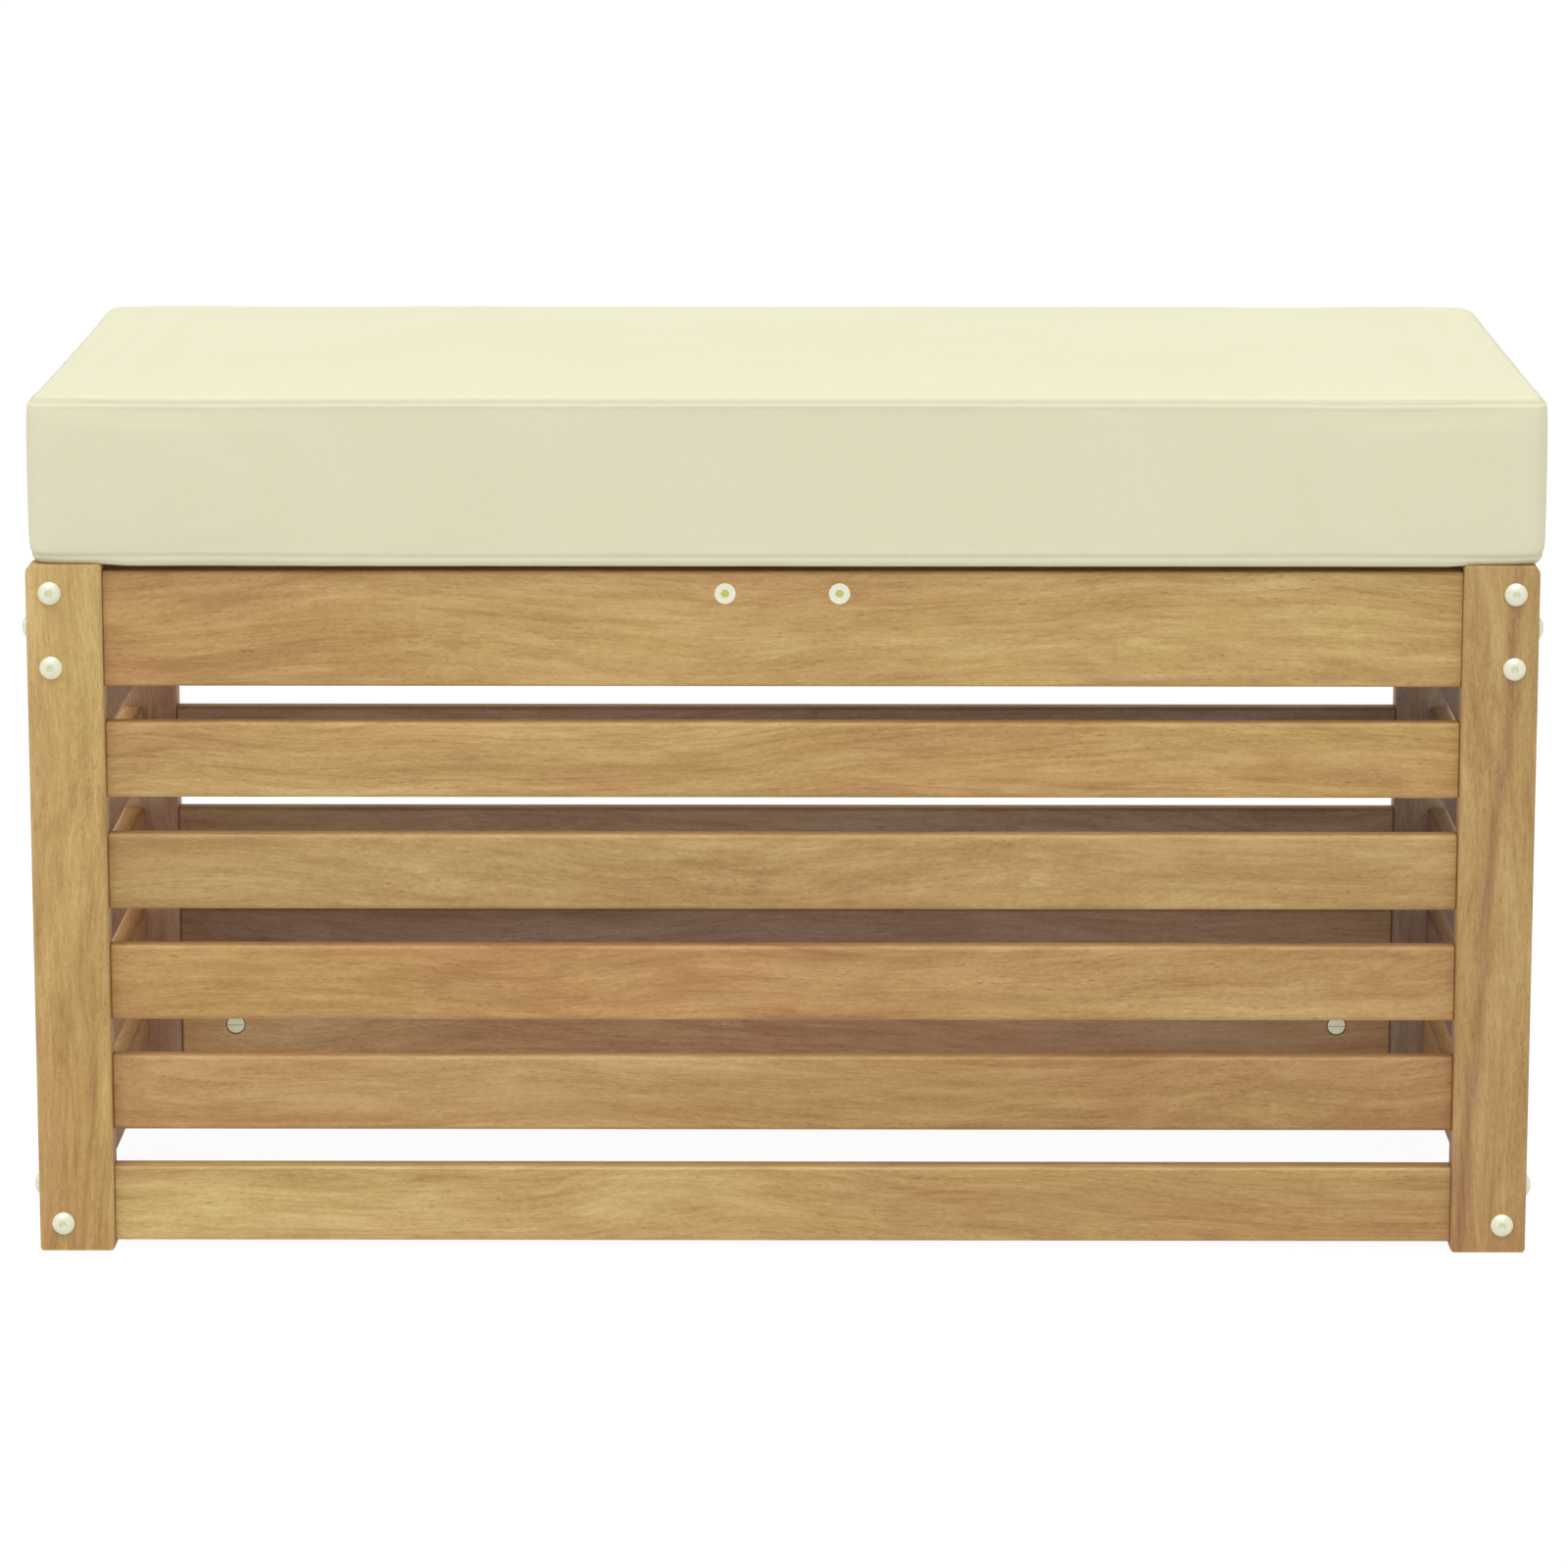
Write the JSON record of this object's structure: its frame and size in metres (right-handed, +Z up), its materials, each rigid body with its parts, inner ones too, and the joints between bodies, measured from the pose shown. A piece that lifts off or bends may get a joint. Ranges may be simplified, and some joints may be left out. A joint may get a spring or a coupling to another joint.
{
  "type": "slatted garden storage bench",
  "caption": "Open-slatted wooden garden storage box on straight legs, with a lift-out slatted lid and a thick loose box cushion that makes it a seat.",
  "frame": {"origin": "on the ground under the centre of the footprint", "axes": "+X along the length towards the right end seen from the front, +Y from the front face to the rear, +Z up"},
  "size_m": [1.0086, 0.5086, 0.5784],
  "materials": {
    "oiled_wood": "oiled honey-brown hardwood",
    "lid_wood": "oiled honey-brown hardwood",
    "dowel_wood": "plain turned hardwood",
    "bolt_steel": "pale yellow-zinc plated",
    "nut_steel": "pale yellow-zinc plated",
    "screw_steel": "zinc plated",
    "cushion_fabric": "cream woven outdoor fabric",
    "zip_tape": "cream zip",
    "zip_metal": "cream enamelled slider"
  },
  "bodies": {
    "frame": {"leg_front_left": "oiled_wood", "leg_front_right": "oiled_wood", "leg_rear_left": "oiled_wood", "leg_rear_right": "oiled_wood", "top_rail_front": "oiled_wood", "top_rail_rear": "oiled_wood", "top_rail_left": "oiled_wood", "top_rail_right": "oiled_wood", "bottom_rail_front": "oiled_wood", "bottom_rail_rear": "oiled_wood", "bottom_rail_left": "oiled_wood", "bottom_rail_right": "oiled_wood", "slat_front_1": "oiled_wood", "slat_front_2": "oiled_wood", "slat_front_3": "oiled_wood", "slat_front_4": "oiled_wood", "slat_rear_1": "oiled_wood", "slat_rear_2": "oiled_wood", "slat_rear_3": "oiled_wood", "slat_rear_4": "oiled_wood", "slat_left_1": "oiled_wood", "slat_left_2": "oiled_wood", "slat_left_3": "oiled_wood", "slat_left_4": "oiled_wood", "slat_right_1": "oiled_wood", "slat_right_2": "oiled_wood", "slat_right_3": "oiled_wood", "slat_right_4": "oiled_wood", "centre_cross_rail": "oiled_wood", "lid_cleat_left": "oiled_wood", "lid_cleat_right": "oiled_wood", "bolts_front_rear": "bolt_steel", "bolts_sides": "bolt_steel", "barrel_nuts": "nut_steel", "centre_rail_bolts": "bolt_steel", "centre_rail_nuts": "nut_steel", "dowels": "dowel_wood", "cleat_screws": "screw_steel"},
    "lid": {"lid_slat_1": "lid_wood", "lid_slat_2": "lid_wood", "lid_slat_3": "lid_wood", "lid_slat_4": "lid_wood", "lid_slat_5": "lid_wood", "lid_slat_6": "lid_wood", "lid_slat_7": "lid_wood", "lid_batten_1": "lid_wood", "lid_batten_2": "lid_wood", "lid_batten_3": "lid_wood", "lid_batten_4": "lid_wood", "lid_screws": "screw_steel"},
    "cushion": {"seat_cushion": "cushion_fabric", "cushion_zip": "zip_tape", "cushion_zip_pull": "zip_metal"}
  },
  "joints": [
    {"name": "lid_lift", "type": "slide", "parent": "frame", "child": "lid", "axis": [0, 0, 1], "range_m": [0, 0.1]},
    {"name": "cushion_lift", "type": "slide", "parent": "lid", "child": "cushion", "axis": [0, 0, 1], "range_m": [0, 0.08]}
  ]
}
